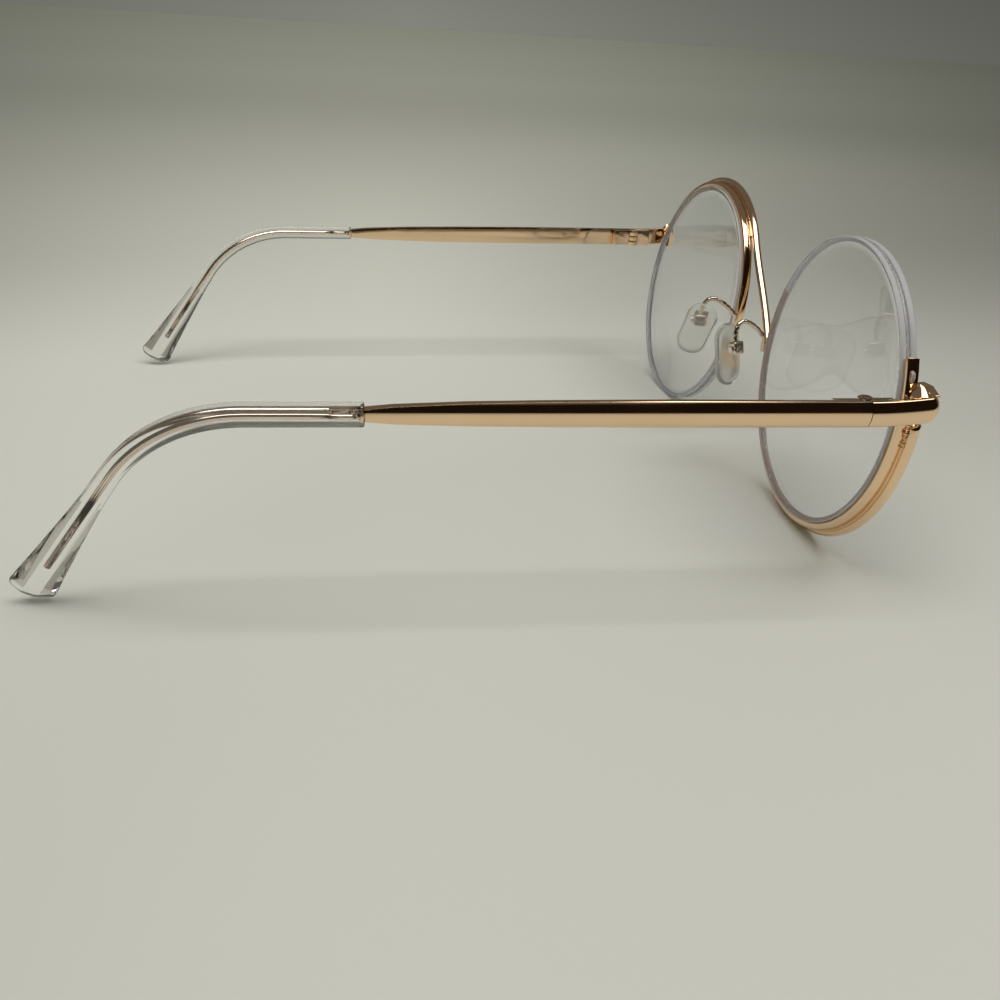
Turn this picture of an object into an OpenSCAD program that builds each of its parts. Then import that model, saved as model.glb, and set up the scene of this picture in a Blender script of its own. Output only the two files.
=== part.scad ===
// Round semi-rimless eyeglasses with a swirl front, a pair with folding temples.
// Z is up, the wearer looks along -Y, and the wearer's left is +X. The glasses stand open on their
// wire, on the bare edge of the left lens and on their two temple tips, as when laid on a table.

/* [Lenses] */
// Diameter of each round lens
lens_d = 52; // [48:0.5:55]
// Gap between the lenses, across the nose
bridge_gap = 20; // [18:0.5:23]
// Thickness of a lens at its edge
lens_edge = 2.9; // [2.6:0.1:3.2]
// Thickness of a lens at its middle
lens_middle = 2; // [1.5:0.1:2.4]
// Radius of a lens's front face
lens_front_r = 130; // [100:5:250]
// Forward lean of the right lens, in degrees
lean_right = 3.5; // [1:0.5:8]
// Forward lean of the left lens, in degrees
lean_left = 7.2; // [1:0.2:9]
// Turn of each lens back towards its temple, in degrees
wrap = 2.2; // [0:0.2:4]
// Width of the groove round a lens's edge
groove_w = 0.8; // [0.7:0.05:1]
// Depth of the groove round a lens's edge
groove_depth = 0.8; // [0.7:0.05:1]

/* [Front wires] */
// Radial thickness of an eye wire
rim_t = 1.2; // [0.9:0.1:1.6]
// Depth of an eye wire, front to back
rim_w = 2; // [1.6:0.1:2.2]
// How far an eye wire runs past the level of its lens's middle on the nose side, in degrees
rim_tail = 24; // [10:1:35]
// Radial thickness of the bridge wire
wire_t = 1.4; // [1:0.1:2]
// Depth of the bridge wire, front to back
wire_w = 1.7; // [1.2:0.1:2.2]
// Forward bow of the bridge wire between the lenses
wire_bow = 1.1; // [0:0.1:3]
// Diameter of the nylon cord that holds the bare half of each lens
nylon_d = 0.64; // [0.5:0.02:0.68]

/* [Lugs and end pieces] */
// Depth of a lug, front to back
lug_w = 2; // [1.8:0.1:2.4]
// How far a lug reaches past its end piece
lug_reach = 6.3; // [6:0.1:7.5]
// Distance from the middle of the glasses to the outside of a temple at its hinge
half_width = 66.8; // [65:0.1:70]
// Distance of the temple joint behind the back of the lenses
joint_y = 7.3; // [6.5:0.1:12]
// Height of an end piece at its joint
end_h = 4.1; // [3.6:0.1:4.6]
// Extra height of an end piece where it meets its lug
end_rise = 1.6; // [0:0.1:1.8]

/* [Temples] */
// Length of a temple from its joint to the end of its tip
temple_len = 143; // [135:1:150]
// Thickness of a temple at its joint
temple_t = 1.7; // [1.5:0.1:2.2]
// Length of a temple's metal bar up to its clear tip
bar_len = 76.8; // [70:0.5:84]
// Length of a temple before it bends down over the ear
straight_len = 93; // [90:0.5:97]
// Radius of the bend over the ear
bend_r = 24; // [18:0.5:30]
// Angle of the bend over the ear, in degrees
bend_angle = 54.5; // [50:0.5:60]
// Slope of a temple towards the head, in degrees
temple_slope = 2; // [0:0.1:4]
// Fall of a temple towards its tip, in degrees
temple_fall = 0.4; // [0:0.1:1]
// Lean of the bent end towards the head, in degrees
bend_lean = 9; // [0:1:15]
// Diameter of the core wire inside a clear tip
core_d = 1.3; // [1:0.1:1.5]
// Height of a clear tip over its straight part
tip_h = 3; // [2.7:0.1:4.2]
// Thickness of a clear tip, side to side
tip_t = 2.9; // [2.6:0.1:3.4]
// Width of the paddle at the end of a clear tip
paddle_w = 7.4; // [5:0.1:9]

/* [Hinges] */
// Radius of the hinge knuckles
knuckle_r = 1.25; // [1.1:0.05:1.5]
// Diameter of a hinge screw
screw_d = 1.1; // [0.9:0.1:1.2]
// Length of a hinge leaf along its bar
leaf_len = 5.5; // [4:0.5:8]

/* [Nose pads] */
// Length of a nose pad
pad_len = 13; // [11:0.5:15]
// Width of a nose pad
pad_w = 7; // [6:0.5:8]
// Thickness of a nose pad at its middle
pad_t = 2; // [1.6:0.1:2.6]
// Distance of each pad screw from the middle of the glasses
pad_x = 10.6; // [10:0.1:12]
// Distance of the pad screws behind the back of the lenses
pad_y = 5.8; // [5:0.1:8]
// Height of the pad screws above the table
pad_z = 26.6; // [25:0.1:29]
// Turn of a pad's face to the back, seen from above, in degrees
pad_splay = 28; // [15:1:35]
// Lean of a pad's face, seen from the front, in degrees
pad_lean = 14; // [8:1:20]
// Diameter of a pad arm's wire
arm_d = 0.9; // [0.8:0.05:1]
// Diameter of a pad screw
pad_screw_d = 0.8; // [0.6:0.05:0.85]

/* [Fits] */
// Running clearance of a screw in a bore, on the radius
screw_gap = 0.04; // [0.02:0.01:0.06]
// Clearance between parts that pass one another
pass_gap = 0.1; // [0.06:0.01:0.14]
// Film of solder between two joined pieces
solder = 0.04; // [0.02:0.01:0.06]

/* [Hidden] */
$fn = 96;
RIGHT = -1;
LEFT = 1;
gold = [0.86, 0.68, 0.50];
steel = [0.72, 0.70, 0.68];
clear = [0.85, 0.88, 0.90, 0.45];
tint = [0.78, 0.80, 0.86, 0.4];

// Radii about a lens's own axis, and distances in front of the plane of its back edge
lens_r = lens_d / 2;
front_mid = lens_edge / 2;
rim_front = front_mid + 0.1;
lug_front = front_mid + 0.15;
nylon_r = lens_r - groove_depth + groove_w / 2;
rim_in = lens_r + solder;
rim_mid = rim_in + rim_t / 2;
rim_out = rim_in + rim_t;
lug_out = rim_out + 0.1;
wire_r = rim_out - 0.15 + wire_t / 2;
wire_front = rim_front + rim_w / 2 + 0.72;
lens_x = (bridge_gap + lens_d) / 2;

// The right lens stands on the bridge wire under it, the left one on its own bare edge
right_z = (wire_r + wire_t / 2) * cos(lean_right) + wire_front * sin(lean_right);
left_z = lens_r * cos(lean_left) + lens_edge * sin(lean_left);

function turn_x(p, a) = [p[0], p[1] * cos(a) - p[2] * sin(a), p[1] * sin(a) + p[2] * cos(a)];
function turn_y(p, a) = [p[0] * cos(a) + p[2] * sin(a), p[1], -p[0] * sin(a) + p[2] * cos(a)];
function turn_z(p, a) = [p[0] * cos(a) - p[1] * sin(a), p[0] * sin(a) + p[1] * cos(a), p[2]];
function unit(v) = v / norm(v);
function power(v, e) = sign(v) * pow(abs(v), e);

// Temple tip: rings along the straight part, round the bend and out to the rounded paddle. They lie
// in the bend's own plane, x across, y to the back and z up from the middle of the bar at its joint
bar_inner = half_width - temple_t;
bar_face_r = 3;
bend_arc = bend_r * bend_angle * PI / 180;
tip_from = bar_len + 0.05;
tip_round = 1.8;
flare_from = 115;
flare_power = 1.4;
paddle_slim = 0.25;
tip_sides = 20;
tip_squareness = 0.7;
bend_steps = 14;
round_steps = 5;
tip_stations = concat(
    [tip_from, tip_from + 0.3, (tip_from + straight_len) / 2],
    [for (i = [0:bend_steps]) straight_len + bend_arc * i / bend_steps],
    [for (i = [1:8])
        let (t = i / 8)
        (1 - t) * (straight_len + bend_arc) + t * (temple_len - tip_round)],
    [for (i = [1:round_steps]) temple_len - tip_round * (1 - sin(88 * i / round_steps))]
);
function bend_at(s) = min(bend_angle, max(0, s - straight_len) / bend_r * 180 / PI);
function bend_path(s) =
    let (a = bend_at(s), rest = max(0, s - straight_len - bend_arc))
    [0, min(s, straight_len) + bend_r * sin(a) + rest * cos(a), -bend_r * (1 - cos(a)) - rest * sin(a)];
function flare(s) = pow(max(0, s - flare_from) / (temple_len - flare_from), flare_power);
function end_inset(s) =
    let (into = max(0, s - temple_len + tip_round))
    tip_round - sqrt(max(0, tip_round * tip_round - into * into));
function start_inset(s) = s < tip_from + 0.1 ? 0.25 : 0;
function tip_ring(s) =
    let (
        a = bend_at(s),
        half_h = (tip_h + (paddle_w - tip_h) * flare(s)) / 2 - end_inset(s) - start_inset(s),
        half_t = tip_t / 2 - paddle_slim * flare(s) - 0.4 * end_inset(s) - start_inset(s)
    )
    [for (i = [0:tip_sides - 1])
        let (t = 360 * i / tip_sides, h = half_h * power(sin(t), tip_squareness))
        bend_path(s) + [half_t * power(cos(t), tip_squareness), h * sin(a), h * cos(a)]];
tip_rings = [for (s = tip_stations) tip_ring(s)];

// The temple joint's height follows from the drop of the paddle's lowest point down to the table
function in_bend_plane(p) = turn_y(p, bend_lean) + [temple_t / 2, 0, 0];
tip_points = [for (ring = tip_rings, p = ring)
    turn_z(turn_x(in_bend_plane(p), -temple_fall), temple_slope)];
hinge_z = -min([for (p = tip_points) p[2]]);

// Front to back middle of the whole pair, which the origin stands under
front_reach = ring_point(LEFT, wire_r, 90, wire_front + wire_w / 2)[1];
back_reach = joint_y + max([for (p = tip_points) p[1]]);
mid_y = (front_reach + back_reach) / 2;

// Hinge: its axis stands just inside the bar, in the plane of the joint
hinge_x = bar_inner - pass_gap - knuckle_r;
joint_gap = 0.06;
knuckles_h = end_h - 0.2;
knuckle_h = knuckles_h / 3;
leaf_t = bar_inner - hinge_x;

// Ring angles start at the temple and climb over the far side of the eye wire to the nose: the
// right front is the left one turned half round, which is what makes the swirl
rim_stop = 180 + rim_tail;
hole_first = 4.8;
hole_second = 7.6;
wire_short = 0.9;
function lens_z(side) = side == RIGHT ? right_z : left_z;
function lean(side) = side == RIGHT ? lean_right : lean_left;
function ring_turn(side) = side == RIGHT ? 180 : 0;
function ring_angle_at(side, z) = side * asin((z - lens_z(side)) / rim_mid);
function rim_start(side) = ring_angle_at(side, hinge_z + side * end_h / 2);
function lug_end(side) = ring_angle_at(side, hinge_z - side * (end_h / 2 + lug_reach));

// A point at radius r, ring angle a and some distance in front of the lens's back, and the lens's axis
function ring_point(side, r, a, front) =
    let (t = a + ring_turn(side), flat = [r * cos(t), -front, r * sin(t)])
    turn_z(turn_x(flat, lean(side)), side * wrap) + [side * lens_x, 0, lens_z(side)];
function ring_axis(side) = turn_z(turn_x([0, -1, 0], lean(side)), side * wrap);

// Nose pad: the box round its stem, and a point of the pad's frame in the shared frame
box_u = 2.8;
box_v = 2.4;
box_wall = 0.35;
box_mouth = 0.75;
box_back = 1.25;
stem_u = 1.7;
stem_v = 1.36;
pad_back = 1.2;
pad_drop = -1.2;
function on_pad(p) = turn_z(turn_y(p, -pad_lean), -pad_splay) + [pad_x, pad_y, pad_z];

// Bridge wire's path: over the left lens, down across the nose near the common tangent of both
// wires and under the right lens
left_steps = 28;
right_steps = 34;
crossing_steps = 12;
cross_at = 180 - acos(2 * wire_r / norm([2 * lens_x, right_z - left_z]))
    - atan((right_z - left_z) / (2 * lens_x));
left_from = rim_start(LEFT) + wire_short;
right_to = rim_start(RIGHT) + wire_short;
left_angles = [for (i = [0:left_steps]) left_from + (cross_at - left_from) * i / left_steps];
right_angles = [for (i = [0:right_steps]) cross_at + (right_to - cross_at) * i / right_steps];

// Cubic curve from p to q with end directions d and e, without its two ends
function curve(p, d, q, e, n) = [
    for (i = [1:n - 1])
        let (t = i / n)
        (2 * t * t * t - 3 * t * t + 1) * p + (t * t * t - 2 * t * t + t) * d
            + (3 * t * t - 2 * t * t * t) * q + (t * t * t - t * t) * e
];

// Rings of a wire with an oval section: half width a beside the path and b towards its front
function wire_rings(path, front, a, b, n) = [
    for (i = [0:len(path) - 1])
        let (
            ahead = path[min(i + 1, len(path) - 1)],
            behind = path[max(i - 1, 0)],
            along = unit(ahead - behind),
            beside = unit(cross(along, front[i])),
            facing = cross(beside, along)
        )
        [for (j = [0:n - 1]) path[i] + a * cos(360 * j / n) * beside + b * sin(360 * j / n) * facing]
];

// A closed skin through rings of equally many points, with a flat cap at each end
module skin(rings) {
    n = len(rings[0]);
    last = len(rings) - 1;
    sides = [
        for (i = [0:last - 1], j = [0:n - 1])
            let (a = i * n + j, b = i * n + (j + 1) % n)
            each [[a, b, a + n], [b, b + n, a + n]]
    ];
    first_cap = [for (j = [1:n - 2]) [0, j + 1, j]];
    last_cap = [for (j = [1:n - 2]) [last * n, last * n + j, last * n + j + 1]];
    polyhedron([for (ring = rings) each ring], concat(sides, first_cap, last_cap));
}

module placed() {
    translate([0, -mid_y, 0]) children();
}

module on_side(side) {
    mirror([side == RIGHT ? 1 : 0, 0, 0]) children();
}

module on_ring(side) {
    translate([side * lens_x, 0, lens_z(side)])
        rotate([0, 0, side * wrap])
            rotate([lean(side), 0, 0])
                rotate([90, 0, 0])
                    rotate([0, 0, ring_turn(side)])
                        children();
}

// Lens: a shallow meniscus with a groove round its edge for the nylon cord and the eye wire's bead
module lens(side) {
    front_sag = lens_front_r - sqrt(lens_front_r * lens_front_r - lens_r * lens_r);
    back_sag = lens_edge + front_sag - lens_middle;
    back_r = (lens_r * lens_r + back_sag * back_sag) / (2 * back_sag);
    color(tint)
    on_ring(side)
    difference() {
        intersection() {
            cylinder(h = 2 * lens_edge + front_sag, r = lens_r);
            translate([0, 0, lens_edge + front_sag - lens_front_r])
                sphere(r = lens_front_r);
        }
        translate([0, 0, back_sag - back_r])
            sphere(r = back_r);
        rotate_extrude()
            translate([lens_r - groove_depth, front_mid - groove_w / 2])
                square([groove_depth + 1, groove_w]);
    }
}

// Eye wire: a channel round half the lens, with an inner bead that sits in the lens's groove
module eye_wire(side) {
    bead_w = groove_w - 0.1;
    bead_t = 0.35;
    start = rim_start(side);
    color(gold)
    on_ring(side)
    rotate([0, 0, start])
    rotate_extrude(angle = rim_stop - start) {
        translate([rim_in, rim_front - rim_w / 2])
            square([rim_t, rim_w]);
        translate([rim_in - bead_t, front_mid - bead_w / 2])
            square([bead_t + rim_t / 2, bead_w]);
    }
}

// Bridge wire: one swept wire from end to end, bowed a little to the front between the lenses
module bridge_wire() {
    start = ring_point(LEFT, wire_r, cross_at, wire_front);
    stop = ring_point(RIGHT, wire_r, cross_at, wire_front);
    reach = norm(stop - start);
    leave = reach * unit(start - ring_point(LEFT, wire_r, cross_at - 1, wire_front));
    arrive = reach * unit(ring_point(RIGHT, wire_r, cross_at - 1, wire_front) - stop);
    straight = curve(start, leave, stop, arrive, crossing_steps);
    bowed = [for (i = [0:len(straight) - 1])
        straight[i] - [0, wire_bow * pow(sin(180 * (i + 1) / crossing_steps), 2), 0]];
    path = concat(
        [for (a = left_angles) ring_point(LEFT, wire_r, a, wire_front)],
        bowed,
        [for (a = right_angles) ring_point(RIGHT, wire_r, a, wire_front)]
    );
    front = concat(
        [for (a = left_angles) ring_axis(LEFT)],
        [for (p = bowed) [0, -1, 0]],
        [for (a = right_angles) ring_axis(RIGHT)]
    );
    color(gold)
    skin(wire_rings(path, front, wire_t / 2, wire_w / 2, 12));
}

// Nylon cord: in the groove from the eye wire's end to the lug, out through one of its holes and
// back in through the other, with small bends between
module nylon_cord(side) {
    start = rim_stop + 0.6;
    first = lug_end(side) + hole_first;
    second = lug_end(side) + hole_second;
    loop_r = lug_out + nylon_d / 2 + 0.02;
    bend = 0.45;
    bend_a = bend / nylon_r * 180 / PI;
    groove_steps = 40;
    groove_to = 360 + second - bend_a;
    turns = [22.5, 45, 67.5, 90];
    places = concat(
        [for (i = [0:groove_steps]) [nylon_r, start + (groove_to - start) * i / groove_steps]],
        [for (t = turns) [nylon_r + bend * (1 - cos(t)), second - bend_a * (1 - sin(t))]],
        [[loop_r - bend, second]],
        [for (t = turns) [loop_r - bend * (1 - sin(t)), second - bend_a * (1 - cos(t))]],
        [for (t = [0, each turns]) [loop_r - bend * (1 - cos(t)), first + bend_a * (1 - sin(t))]],
        [[nylon_r + nylon_d / 2 + 0.06, first]]
    );
    color(clear)
    skin(wire_rings(
        [for (p = places) ring_point(side, p[0], p[1], front_mid)],
        [for (p = places) ring_axis(side)],
        nylon_d / 2, nylon_d / 2, 12
    ));
}

// Lug: a short block along the lens edge that joins the eye wire to the end piece
module lug(side) {
    start = lug_end(side);
    color(gold)
    on_ring(side)
    difference() {
        rotate([0, 0, start])
            rotate_extrude(angle = rim_start(side) - 0.1 - start)
                translate([rim_in, lug_front - lug_w / 2])
                    square([lug_out - rim_in, lug_w]);
        for (a = [hole_first, hole_second])
            rotate([0, 0, start + a])
                translate([rim_in - 1, 0, front_mid])
                    rotate([0, 90, 0])
                        cylinder(h = 4, d = nylon_d + 0.16, $fn = 32);
    }
}

// End piece: from the lug out to the corner and back to the joint, taller where it meets the lug.
// The left one is the right one turned upside down
module end_piece(side) {
    color(gold)
    difference() {
        on_side(side)
            translate([0, 0, hinge_z])
                mirror([0, 0, side == LEFT ? 1 : 0])
                    end_piece_shape();
        on_ring(side)
            translate([0, 0, -2 * lug_w])
                cylinder(h = 6 * lug_w, r = lug_out + solder);
    }
}

module end_piece_shape() {
    inner_x = lens_x + lens_r - 2;
    corner_x = half_width + 0.2;
    corner_r = 1.7;
    front_y = -4.3;
    rear_y = -1;
    top = end_h / 2 + end_rise;
    low = -end_h / 2;
    intersection() {
        translate([bar_inner, front_y + corner_r, -end_h / 2])
            cube([temple_t, joint_y - front_y - corner_r, end_h]);
        translate([half_width - bar_face_r, joint_y, 0])
            rotate([90, 0, 0])
                cylinder(h = joint_y - 2 * front_y, r = bar_face_r);
    }
    intersection() {
        translate([0, 0, low])
            linear_extrude(top - low) {
                polygon([
                    [inner_x, front_y + 0.9], [corner_x - corner_r, front_y],
                    [corner_x - corner_r, front_y + corner_r], [corner_x, front_y + corner_r],
                    [corner_x - 0.15, rear_y + 1], [bar_inner + 0.4, rear_y + 3.4],
                    [bar_inner, rear_y + 2.4], [bar_inner - 2, rear_y], [inner_x, rear_y]
                ]);
                translate([corner_x - corner_r, front_y + corner_r])
                    circle(r = corner_r);
            }
        translate([0, joint_y, 0])
            rotate([90, 0, 0])
                linear_extrude(joint_y - 2 * front_y)
                    polygon([
                        [inner_x, low], [half_width - 0.9, low], [corner_x - 0.2, low + 0.9],
                        [corner_x + 0.1, low + 2], [corner_x - 0.1, -low - 0.6],
                        [half_width - 0.7, 0.7 - low], [inner_x, top]
                    ]);
        rotate([90, 0, 90])
            linear_extrude(2 * half_width)
                polygon([
                    [front_y, low + 1.9], [front_y + 0.6, low + 0.7], [front_y + 1.9, low],
                    [joint_y, low], [joint_y, 0.1 - low], [rear_y + 0.9, 0.8 - low],
                    [rear_y + 0.2, top], [front_y, top]
                ]);
    }
}

// Front hinge leaf: a plate inside the end piece with the upper and lower knuckles
module front_hinge(side) {
    color(gold)
    on_side(side)
    translate([hinge_x, joint_y, hinge_z])
    difference() {
        union() {
            translate([0, 1 - leaf_len, -knuckles_h / 2])
                cube([leaf_t - solder, leaf_len - 1 - joint_gap, knuckles_h]);
            cylinder(h = knuckles_h, r = knuckle_r, center = true);
        }
        cylinder(h = knuckle_h, r = knuckle_r + pass_gap, center = true);
        cylinder(h = 2 * end_h, d = screw_d + 2 * screw_gap, center = true);
    }
}

// Temple hinge leaf: a plate inside the bar with the middle knuckle
module temple_hinge(side) {
    color(gold)
    difference() {
        union() {
            difference() {
                in_temple_frame(side)
                    translate([-leaf_t, joint_gap, -knuckles_h / 2 + 0.1])
                        cube([leaf_t - solder, leaf_len, knuckles_h - 0.2]);
                at_hinge(side)
                    for (end = [-1, 1])
                        translate([0, 0, end * (knuckle_h + end_h) / 2])
                            cylinder(h = end_h, r = knuckle_r + pass_gap, center = true);
            }
            at_hinge(side)
                cylinder(h = knuckle_h - pass_gap, r = knuckle_r, center = true);
        }
        at_hinge(side)
            cylinder(h = 2 * end_h, d = screw_d + 2 * screw_gap, center = true);
    }
}

module at_hinge(side) {
    on_side(side)
        translate([hinge_x, joint_y, hinge_z])
            children();
}

// Hinge screws: one down each hinge, with a low head on top
module hinge_screws() {
    head_h = 0.35;
    color(steel)
    for (side = [RIGHT, LEFT])
        at_hinge(side) {
            translate([0, 0, -knuckles_h / 2])
                cylinder(h = knuckles_h + solder + head_h, d = screw_d);
            translate([0, 0, knuckles_h / 2 + solder])
                cylinder(h = head_h, d = screw_d + 0.7);
        }
}

// Pad arm: a foot along the eye wire's nose side, a bow to the back and down onto the pad's box
module pad_arm(side) {
    foot_x = lens_x - rim_out - solder - arm_d / 2;
    foot_y = 0.05 - front_mid;
    foot_low = [foot_x, foot_y, pad_z - 1.2];
    foot_top = [foot_x, foot_y, pad_z + 1.6];
    box_top = on_pad([0, 0, box_v / 2 + solder]);
    leave = [0.6, 10.6, 11.8];
    arrive = [4.1, -1.8, -19.4];
    path = concat([foot_low, foot_top], curve(foot_top, leave, box_top, arrive, 20), [box_top]);
    color(gold)
    on_side(side)
    skin(wire_rings(path, [for (p = path) [1, 0, 0]], arm_d / 2, arm_d / 2, 12));
}

// Pad frame: the screw's axis along y, the pad's face towards -x and its length along z
module in_pad_frame(side) {
    on_side(side)
        translate([pad_x, pad_y, pad_z])
            rotate([0, 0, -pad_splay])
                rotate([0, -pad_lean, 0])
                    children();
}

// Pad box: a small box round the pad's stem, open towards the pad, with bores for the screw
module pad_box(side) {
    color(gold)
    in_pad_frame(side)
    difference() {
        translate([-box_mouth, -box_u / 2, -box_v / 2])
            cube([box_mouth + box_back, box_u, box_v]);
        translate([-box_mouth - 1, -stem_u / 2 - 0.05, box_wall - box_v / 2])
            cube([box_mouth + 1 + box_back - box_wall, stem_u + 0.1, box_v - 2 * box_wall]);
        pad_bore();
    }
}

module pad_bore() {
    rotate([90, 0, 0])
        cylinder(h = 2 * box_u, d = pad_screw_d + 2 * screw_gap, center = true, $fn = 48);
}

// Pad screws: one across each box and the stem inside it, with a flat head on the outside
module pad_screws() {
    head_h = 0.4;
    color(steel)
    for (side = [RIGHT, LEFT])
        in_pad_frame(side)
            rotate([-90, 0, 0])
                translate([0, 0, -box_u / 2]) {
                    cylinder(h = box_u + solder + head_h, d = pad_screw_d, $fn = 48);
                    translate([0, 0, box_u + solder])
                        cylinder(h = head_h, d = pad_screw_d + 0.6, $fn = 48);
                }
}

// Nose pad: a long rounded pad with a domed face, and a stem that turns on the screw
module nose_pad(side) {
    dome = 1;
    dome_r = (pad_len * pad_len / 4 + dome * dome) / (2 * dome);
    face = pad_back + pad_t;
    color(clear)
    in_pad_frame(side)
    difference() {
        union() {
            intersection() {
                translate([-face, 0, pad_drop])
                    rotate([0, 90, 0])
                        linear_extrude(pad_t) {
                            square([pad_len - pad_w, pad_w], center = true);
                            for (end = [-1, 1])
                                translate([end * (pad_len - pad_w) / 2, 0])
                                    circle(d = pad_w);
                        }
                translate([dome_r - face, 0, pad_drop])
                    sphere(r = dome_r);
            }
            translate([-pad_back - pad_t / 4, -stem_u / 2, -stem_v / 2])
                cube([pad_back + pad_t / 4, stem_u, stem_v]);
            rotate([90, 0, 0])
                cylinder(h = stem_u, d = stem_v, center = true);
        }
        pad_bore();
    }
}

// Temple frame: from the inner face of the bar at its joint, y along the bar
module in_temple_frame(side) {
    on_side(side)
        translate([bar_inner, joint_y, hinge_z])
            rotate([-temple_fall, 0, temple_slope])
                children();
}

// The bend's own plane leans towards the head from the middle of the bar
module in_bend_frame(side) {
    in_temple_frame(side)
        translate([temple_t / 2, 0, 0])
            rotate([0, bend_lean, 0])
                children();
}

// Half height of the bar at a distance from its joint: nearly level, then falling to a slim neck
neck_half = 0.85;
function bar_half(s) = lookup(s / bar_len, [
    [0, end_h / 2], [0.4, end_h / 2 + 0.05], [0.65, end_h / 2 - 0.12],
    [0.8, end_h / 2 - 0.32], [0.94, end_h / 2 - 0.75], [1, neck_half]
]);

// Temple: the metal bar with a rounded outer face, slimmer towards its neck
module temple(side) {
    places = [for (t = [0, 0.2, 0.4, 0.52, 0.65, 0.73, 0.8, 0.87, 0.94, 0.97, 1]) max(joint_gap, t * bar_len)];
    color(gold)
    in_temple_frame(side)
    intersection() {
        rotate([90, 0, 90])
            linear_extrude(temple_t)
                polygon(concat(
                    [for (s = places) [s, -bar_half(s)]],
                    [for (i = [len(places) - 1 : -1 : 0]) [places[i], bar_half(places[i])]]
                ));
        translate([temple_t - bar_face_r, 0, 0])
            rotate([-90, 0, 0])
                cylinder(h = bar_len, r = bar_face_r);
    }
}

// A round wire along the bend's path from one distance to another
module bend_wire(from, to, radius) {
    bend_stations = [for (i = [0:bend_steps]) straight_len + bend_arc * i / bend_steps];
    path = [for (s = [from, (from + straight_len) / 2, each bend_stations, to]) bend_path(s)];
    skin(wire_rings(path, [for (p = path) [1, 0, 0]], radius, radius, 12));
}

// Core wire: it runs on from the bar's neck inside the clear tip
core_end = temple_len - 7;
module temple_core(side) {
    color(gold)
    in_bend_frame(side)
    bend_wire(bar_len + solder, core_end, core_d / 2);
}

// Temple tip: the clear sleeve over the core wire, flaring to a paddle that rests on the table
module temple_tip(side) {
    color(clear)
    in_bend_frame(side)
    difference() {
        skin(tip_rings);
        bend_wire(tip_from - 1, core_end + 0.2, core_d / 2 + pass_gap);
    }
}

placed() lens(RIGHT);  // lens_right
placed() lens(LEFT);  // lens_left
placed() eye_wire(RIGHT);  // eye_wire_right
placed() eye_wire(LEFT);  // eye_wire_left
placed() bridge_wire();
placed() nylon_cord(RIGHT);  // nylon_cord_right
placed() nylon_cord(LEFT);  // nylon_cord_left
placed() lug(RIGHT);  // lug_right
placed() lug(LEFT);  // lug_left
placed() end_piece(RIGHT);  // end_piece_right
placed() end_piece(LEFT);  // end_piece_left
placed() front_hinge(RIGHT);  // front_hinge_right
placed() front_hinge(LEFT);  // front_hinge_left
placed() hinge_screws();
placed() pad_arm(RIGHT);  // pad_arm_right
placed() pad_arm(LEFT);  // pad_arm_left
placed() pad_box(RIGHT);  // pad_box_right
placed() pad_box(LEFT);  // pad_box_left
placed() pad_screws();
placed() nose_pad(RIGHT);  // nose_pad_right
placed() nose_pad(LEFT);  // nose_pad_left
placed() temple(RIGHT);  // temple_right
placed() temple(LEFT);  // temple_left
placed() temple_hinge(RIGHT);  // temple_hinge_right
placed() temple_hinge(LEFT);  // temple_hinge_left
placed() temple_core(RIGHT);  // temple_core_right
placed() temple_core(LEFT);  // temple_core_left
placed() temple_tip(RIGHT);  // temple_tip_right
placed() temple_tip(LEFT);  // temple_tip_left
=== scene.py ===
import math
import bpy
import bmesh
from mathutils import Matrix, Vector


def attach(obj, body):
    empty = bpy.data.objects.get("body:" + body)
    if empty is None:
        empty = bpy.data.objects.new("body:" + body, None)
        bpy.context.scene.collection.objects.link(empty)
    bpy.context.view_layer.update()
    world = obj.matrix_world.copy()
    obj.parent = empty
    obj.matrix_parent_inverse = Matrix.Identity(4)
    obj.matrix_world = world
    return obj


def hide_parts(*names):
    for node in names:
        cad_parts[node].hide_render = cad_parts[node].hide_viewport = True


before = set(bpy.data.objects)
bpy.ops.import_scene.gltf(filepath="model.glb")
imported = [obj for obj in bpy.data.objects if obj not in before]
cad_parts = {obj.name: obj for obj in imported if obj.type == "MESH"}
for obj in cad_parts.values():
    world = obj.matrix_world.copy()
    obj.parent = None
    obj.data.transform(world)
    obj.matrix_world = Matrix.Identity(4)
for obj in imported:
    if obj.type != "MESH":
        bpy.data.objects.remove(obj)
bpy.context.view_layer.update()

RIGHT, LEFT = -1, 1
SIDES = {"right": RIGHT, "left": LEFT}


# Camera. It looks down across the glasses from outside the right temple, about 19 cm away, with the
# tip at the lower left and the lenses at the right, as a phone held by hand does.
def turned(yaw, pitch, roll):
    ahead = Vector((math.cos(pitch) * math.cos(yaw), math.cos(pitch) * math.sin(yaw), -math.sin(pitch)))
    level = ahead.cross(Vector((0, 0, 1))).normalized()
    above = level.cross(ahead)
    across = math.cos(roll) * level + math.sin(roll) * above
    up = -math.sin(roll) * level + math.cos(roll) * above
    return Matrix((across, up, -ahead)).transposed().to_4x4()


CAMERA_AT = (-0.18871, 0.02153, 0.08378)
CAMERA_YAW, CAMERA_PITCH, CAMERA_ROLL = -0.18326, 0.46714, 0.06234
phone = bpy.data.objects.new("camera", bpy.data.cameras.new("camera"))
bpy.context.scene.collection.objects.link(phone)
phone.matrix_world = Matrix.Translation(CAMERA_AT) @ turned(CAMERA_YAW, CAMERA_PITCH, CAMERA_ROLL)
phone.data.sensor_width = 36
phone.data.lens = 33.801
phone.data.clip_start = 0.005
phone.data.clip_end = 60
bpy.context.scene.camera = phone
bpy.context.scene.view_settings.view_transform = "Standard"


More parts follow.
